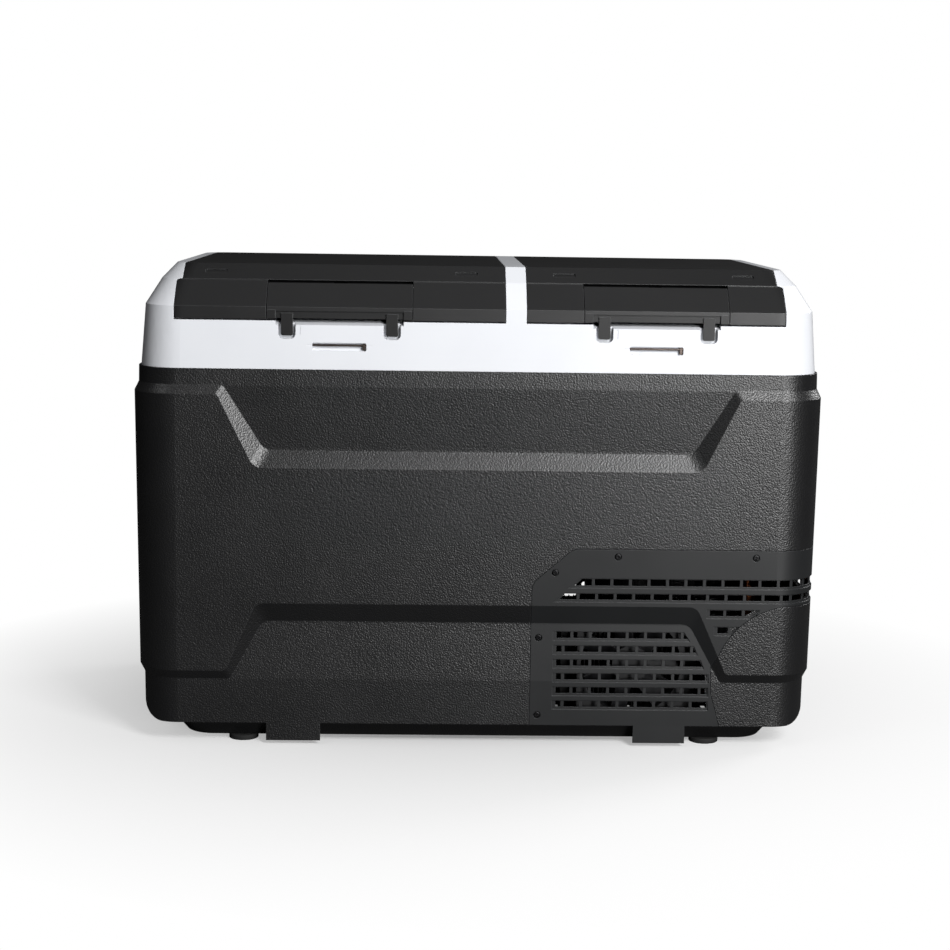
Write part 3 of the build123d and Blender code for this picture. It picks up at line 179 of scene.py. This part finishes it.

# %% [markdown]
# ## Which part has which finish
# The record names a material slot for each part, so the finishes are shared out by slot. A latch's keeper rod
# is plain steel that has browned, so it gets a darker steel of its own. The parts right behind the vent get a
# near-black matt colour. Partly it is a black paint that they may have, and partly it is painted shade that
# stands in for the shade inside the bay, so that the slots look dark from outside.

# %% Give each measured part its finish
browned_steel = surface("browned_steel", "#5b524e", "#6c625d", 0.38, 0.6, 0.01, metallic=1.0,
                        stretch=(0.05, 1, 1), drift_size=12.0)
# Painted shade: the parts right behind the vent are made near black, partly as their paint and partly to
# stand in for the shade inside the bay.
BEHIND_THE_VENT = ("condenser", "fan_shroud", "bay_bulkhead", "compressor_plate")
black_paint_and_bay_shade = surface("black_paint_and_bay_shade", "#0a0a0a", "#0d0d0d", 0.7, 1.0, 0.01, gloss=0.3)
FINISH_OF_SLOT = {
    "tub_plastic": pebbled_polypropylene,
    "grille_plastic": smooth_polypropylene,
    "frame_plastic": white_abs,
    "lid_plastic": fine_grained_abs,
    "liner_plastic": bin_polypropylene,
    "foam": polyurethane_foam,
    "rubber": moulded_rubber,
    "steel": zinc_plated_steel,
    "black_steel": black_enamel,
    "zinc_sheet": spangled_zinc_sheet,
    "aluminium": mill_aluminium,
    "copper": drawn_copper,
    "fan_plastic": glass_filled_nylon,
    "probe_plastic": glass_filled_nylon,
    "bezel_plastic": glossy_abs,
    "display_glass": smoked_acrylic,
    "button_rubber": grey_silicone,
    "socket_plastic": glass_filled_nylon,
}
for part in frame["record"]["subparts"]:
    finish = FINISH_OF_SLOT[part["material_slot"]]
    if part["node"].startswith("keeper_rod"):
        finish = browned_steel
    if part["node"] in BEHIND_THE_VENT:
        finish = black_paint_and_bay_shade
    nodes[part["node"]].data.materials.clear()
    nodes[part["node"]].data.materials.append(finish)


# %% [markdown]
# ## Starting and finishing a modelled piece
# An operator works on everything that is selected, so each piece starts with nothing selected. When it is
# done, its place is put into its mesh, its faces are turned outwards, and it rides on the body that it is
# fixed to.


# %% Helpers for modelling by hand
def start():
    """Leaves edit mode and selects nothing."""
    if bpy.context.object and bpy.context.object.mode != "OBJECT":
        bpy.ops.object.mode_set(mode="OBJECT")
    bpy.ops.object.select_all(action="DESELECT")


def pick_faces(piece, wanted):
    """Selects the faces of a mesh in edit mode for which wanted(face) is true."""
    bpy.ops.object.mode_set(mode="OBJECT")
    for part in (piece.data.vertices, piece.data.edges, piece.data.polygons):
        part.foreach_set("select", [False] * len(part))
    for face in piece.data.polygons:
        face.select = wanted(face)
    bpy.ops.object.mode_set(mode="EDIT")
    bpy.ops.mesh.select_mode(type="FACE")


def apply_modifier(piece, kind, **settings):
    """Adds a modifier with its settings and applies it."""
    modifier = piece.modifiers.new(kind.lower(), kind)
    for name, value in settings.items():
        setattr(modifier, name, value)
    bpy.ops.object.modifier_apply(modifier=modifier.name)


def finish_piece(piece, name, finish, body, stands_for=()):
    """Puts a piece's place into its mesh, names it, gives it its finish and hands it to its body."""
    start()
    piece.select_set(True)
    bpy.context.view_layer.objects.active = piece
    bpy.ops.object.transform_apply(location=True, rotation=True, scale=True)
    bpy.ops.object.mode_set(mode="EDIT")
    bpy.ops.mesh.select_all(action="SELECT")
    bpy.ops.mesh.remove_doubles(threshold=0.00001)
    bpy.ops.mesh.normals_make_consistent(inside=False)
    bpy.ops.object.mode_set(mode="OBJECT")
    bpy.ops.object.shade_smooth_by_angle(angle=math.radians(35))
    piece.name = name
    piece.data.materials.clear()
    piece.data.materials.append(finish)
    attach(piece, body)
    if stands_for:
        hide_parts(*stands_for)
    print("piece made:", name, len(piece.data.polygons), "faces")


def join_all(pieces):
    """Joins several objects into the first one."""
    start()
    for piece in pieces:
        piece.select_set(True)
    bpy.context.view_layer.objects.active = pieces[0]
    bpy.ops.object.join()
    return bpy.context.object


# %% [markdown]
# ## The screws of the grille
# Five pan-head screws hold the grille. A pan head is a low drum with a rounded shoulder and a tapered cross
# recess. It is modelled once as a cylinder whose outer face is drawn in and rounded, and the cross is cut by
# a Boolean, because a real recess has walls and a floor that stay dark.

# %% Model one screw and copy it
SCREWS = [(140.3, -188.3, 197.3), (278.9, -188.3, 197.3), (77.8, -188.3, 180.6), (62.8, -180.4, 112.3),
          (62.6, -182.0, 32.7)]
HEAD_RADIUS = 3.1 * MM
HEAD_FRONT = 0.7 * MM
HEAD_HEIGHT = 1.85 * MM
CROSS_LENGTH = 3.4 * MM
CROSS_WIDTH = 0.8 * MM
CROSS_CUTTER_DEPTH = 1.4 * MM
SHANK_RADIUS = 1.5 * MM
SHANK_LENGTH = 8 * MM
SHANK_MIDDLE = 5.1 * MM  # how far behind the grille's face the middle of the shank is


def make_screw(x, y, z):
    """One pan-head screw facing the front, with its head's outer face just proud of the grille."""
    start()
    middle_y = y * MM - HEAD_FRONT + HEAD_HEIGHT / 2
    bpy.ops.mesh.primitive_cylinder_add(vertices=40, radius=HEAD_RADIUS, depth=HEAD_HEIGHT,
                                        location=(x * MM, middle_y, z * MM), rotation=(math.pi / 2, 0, 0))
    head = bpy.context.object
    bpy.ops.object.transform_apply(location=True, rotation=True, scale=True)
    apply_modifier(head, "BEVEL", width=0.7 * MM, segments=4, limit_method="ANGLE")
    bars = []
    for width, height in ((CROSS_LENGTH, CROSS_WIDTH), (CROSS_WIDTH, CROSS_LENGTH)):
        start()
        bpy.ops.mesh.primitive_cube_add(size=1, location=(x * MM, y * MM - HEAD_FRONT + 0.3 * MM, z * MM))
        bars.append(bpy.context.object)
        bars[-1].scale = (width, CROSS_CUTTER_DEPTH, height)
        bpy.ops.object.transform_apply(location=True, rotation=True, scale=True)
    for bar in bars:
        start()
        head.select_set(True)
        bpy.context.view_layer.objects.active = head
        apply_modifier(head, "BOOLEAN", object=bar, operation="DIFFERENCE", solver="EXACT")
        bpy.data.objects.remove(bar)
    start()
    bpy.ops.mesh.primitive_cylinder_add(vertices=24, radius=SHANK_RADIUS, depth=SHANK_LENGTH,
                                        location=(x * MM, y * MM + SHANK_MIDDLE, z * MM),
                                        rotation=(math.pi / 2, 0, 0))
    return join_all([head, bpy.context.object])


screws = [make_screw(*spot) for spot in SCREWS]
finish_piece(join_all(screws), "pan_head_screws", black_zinc_plated_steel, "cabinet",
             ("grille_screws",))

# %% [markdown]
# ## The rubber feet
# Each foot is a moulded rubber disc with a rounded rim and a dished middle for its screw. It starts as a
# cylinder. Its underside is drawn in three times, and the face left in the middle is pushed up.

# %% Model one foot and copy it
feet_low, feet_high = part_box("rubber_feet")
FOOT_RADIUS = 15.0 * MM
FOOT_HEIGHT = feet_high.z - feet_low.z
foot_x = feet_high.x - FOOT_RADIUS
foot_y = feet_high.y - FOOT_RADIUS


def make_foot(x, y):
    """One rubber foot standing on the floor."""
    start()
    bpy.ops.mesh.primitive_cylinder_add(vertices=64, radius=FOOT_RADIUS, depth=FOOT_HEIGHT,
                                        location=(x, y, FOOT_HEIGHT / 2))
    foot = bpy.context.object
    bpy.ops.object.transform_apply(location=True, rotation=True, scale=True)
    pick_faces(foot, lambda face: face.normal.z < -0.9)
    bpy.ops.mesh.inset(thickness=3.2 * MM)
    bpy.ops.mesh.inset(thickness=1.6 * MM)
    bpy.ops.mesh.inset(thickness=5.0 * MM)
    bpy.ops.transform.translate(value=(0, 0, 1.6 * MM))
    bpy.ops.object.mode_set(mode="OBJECT")
    apply_modifier(foot, "BEVEL", width=0.7 * MM, segments=3, limit_method="ANGLE",
                   angle_limit=math.radians(50))
    return foot


feet = [make_foot(i * foot_x, j * foot_y) for i in (-1, 1) for j in (-1, 1)]
finish_piece(join_all(feet), "ribbed_feet", moulded_rubber, "cabinet", ("rubber_feet",))

# %% [markdown]
# ## The lid seals
# A soft rubber seal runs round the inside of each lid and presses on the frame. It starts as a flat sheet
# with rounded corners, which is drawn in to a ring, pulled up to its thickness, and rounded along its edges.

# %% Model a seal for each lid
SEAL_CORNER = 27 * MM
SEAL_WIDTH = 6.0 * MM


def make_seal(side):
    """One closed seal, in the space of the CAD gasket."""
    low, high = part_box(f"lid_gasket_{side}")
    start()
    bpy.ops.mesh.primitive_plane_add(size=1, location=((low.x + high.x) / 2, (low.y + high.y) / 2, low.z))
    seal = bpy.context.object
    seal.scale = (high.x - low.x, high.y - low.y, 1)
    bpy.ops.object.transform_apply(location=True, rotation=True, scale=True)
    bpy.ops.object.mode_set(mode="EDIT")
    bpy.ops.mesh.select_all(action="SELECT")
    bpy.ops.mesh.bevel(offset=SEAL_CORNER, segments=12, affect="VERTICES")
    pick_faces(seal, lambda face: True)
    bpy.ops.mesh.inset(thickness=SEAL_WIDTH)
    bpy.ops.mesh.delete(type="FACE")
    bpy.ops.mesh.select_all(action="SELECT")
    bpy.ops.mesh.extrude_region_move(TRANSFORM_OT_translate={"value": (0, 0, high.z - low.z)})
    bpy.ops.object.mode_set(mode="OBJECT")
    apply_modifier(seal, "BEVEL", width=0.55 * MM, segments=3, limit_method="ANGLE",
                   angle_limit=math.radians(50))
    return seal


for side in ("left", "right"):
    finish_piece(make_seal(side), f"soft_seal_{side}", moulded_rubber, f"{side}_lid",
                 (f"lid_gasket_{side}",))

# %% [markdown]
# ## The floor, the light and the view
# The fridge stands on a plain pale floor that fades to white, so no horizon shows. Black plastic has almost
# no tone of its own: it shows what it mirrors. So the floor and the sky look white to the camera but give
# little light back, and soft lamps at the right draw the long bright gradient across the front. A lamp
# behind at the right keeps the back readable. The camera stands a little to the left of the middle, two
# metres in front, and looks slightly down.

# %% Floor and lights
FLOOR_FADE = 1.45  # the floor is all white one metre divided by this from the middle
# Each lamp has a place, the point it faces, the side of its square in metres, and its power in watts.
LAMPS = {
    "key_lamp": ((0.95, -1.9, 1.5), (-0.05, 0, 0.25), 0.8, 48),
    "front_lamp": ((1.1, -2.7, 0.5), (0.25, 0, 0.25), 0.6, 30),
    "fill_lamp": ((-1.5, -1.2, 1.8), (-0.1, 0, 0.3), 0.8, 4),
    "back_lamp": ((1.9, 1.2, 1.3), (0.1, 0.1, 0.25), 0.8, 20),
    "top_lamp": ((0.1, -0.1, 2.5), (0, 0, 0.3), 2.0, 6),
}
start()
bpy.ops.mesh.primitive_plane_add(size=14, location=(0, 0, 0))
floor = bpy.context.object
floor.name = "pale_floor"
paint = bpy.data.materials.new("pale_floor_paint")
paint.use_nodes = True
floor_tree = paint.node_tree
floor_tree.nodes.clear()
spot = add_node(floor_tree, "ShaderNodeTexCoord").outputs["Object"]
reach = add_node(floor_tree, "ShaderNodeMapping", {"Scale": (FLOOR_FADE, FLOOR_FADE, FLOOR_FADE)},
                 {"Vector": spot}).outputs["Vector"]
fade = add_node(floor_tree, "ShaderNodeTexGradient", None, {"Vector": reach}, gradient_type="SPHERICAL")
matt = add_node(floor_tree, "ShaderNodeBsdfDiffuse", {"Color": linear("#f4f4f4")}).outputs["BSDF"]
white = add_node(floor_tree, "ShaderNodeEmission",
                 {"Color": linear("#ffffff"), "Strength": 1.0}).outputs["Emission"]
pale = add_node(floor_tree, "ShaderNodeMixShader", None, {0: fade.outputs["Fac"], 1: white, 2: matt})
dull = add_node(floor_tree, "ShaderNodeBsdfDiffuse", {"Color": linear("#4c4c4c")}).outputs["BSDF"]
looked_at = add_node(floor_tree, "ShaderNodeLightPath").outputs["Is Camera Ray"]
floor_look = add_node(floor_tree, "ShaderNodeMixShader", None,
                      {0: looked_at, 1: dull, 2: pale.outputs["Shader"]})
add_node(floor_tree, "ShaderNodeOutputMaterial", None, {"Surface": floor_look.outputs["Shader"]})
floor.data.materials.append(paint)


def soft_lamp(name, place, aim, size, watts):
    """A square area lamp at a place, turned towards a point."""
    lamp = bpy.data.objects.new(name, bpy.data.lights.new(name, "AREA"))
    lamp.data.size = size
    lamp.data.energy = watts
    lamp.location = place
    lamp.rotation_euler = (Vector(aim) - Vector(place)).to_track_quat("-Z", "Y").to_euler()
    bpy.context.scene.collection.objects.link(lamp)


for lamp_name, lamp_settings in LAMPS.items():
    soft_lamp(lamp_name, *lamp_settings)
world = bpy.data.worlds.new("studio")
world.use_nodes = True
sky = world.node_tree
sky.nodes.clear()
seen = add_node(sky, "ShaderNodeLightPath").outputs["Is Camera Ray"]
dim = add_node(sky, "ShaderNodeBackground", {"Color": linear("#ffffff"), "Strength": 0.025})
bright = add_node(sky, "ShaderNodeBackground", {"Color": linear("#ffffff"), "Strength": 1.0})
blend = add_node(sky, "ShaderNodeMixShader", None,
                 {0: seen, 1: dim.outputs["Background"], 2: bright.outputs["Background"]})
add_node(sky, "ShaderNodeOutputWorld", None, {"Surface": blend.outputs["Shader"]})
bpy.context.scene.world = world
bpy.context.scene.view_settings.view_transform = "Standard"

# %% Camera
YAW, PITCH, ROLL = (math.radians(a) for a in (1.41, -8.45, 0.85))
look = Vector((math.sin(YAW) * math.cos(PITCH), math.cos(YAW) * math.cos(PITCH), math.sin(PITCH)))
level = Vector((math.cos(YAW), -math.sin(YAW), 0))
upright = level.cross(look)
right = math.cos(ROLL) * level + math.sin(ROLL) * upright
up = -math.sin(ROLL) * level + math.cos(ROLL) * upright
camera = bpy.data.objects.new("camera", bpy.data.cameras.new("camera"))
camera.data.lens = 74.07
camera.data.sensor_width = 36.0
turned = Matrix((right, up, -look)).transposed().to_4x4()
camera.matrix_world = Matrix.Translation((-0.051, -2.103, 0.563)) @ turned
bpy.context.scene.collection.objects.link(camera)
bpy.context.scene.camera = camera
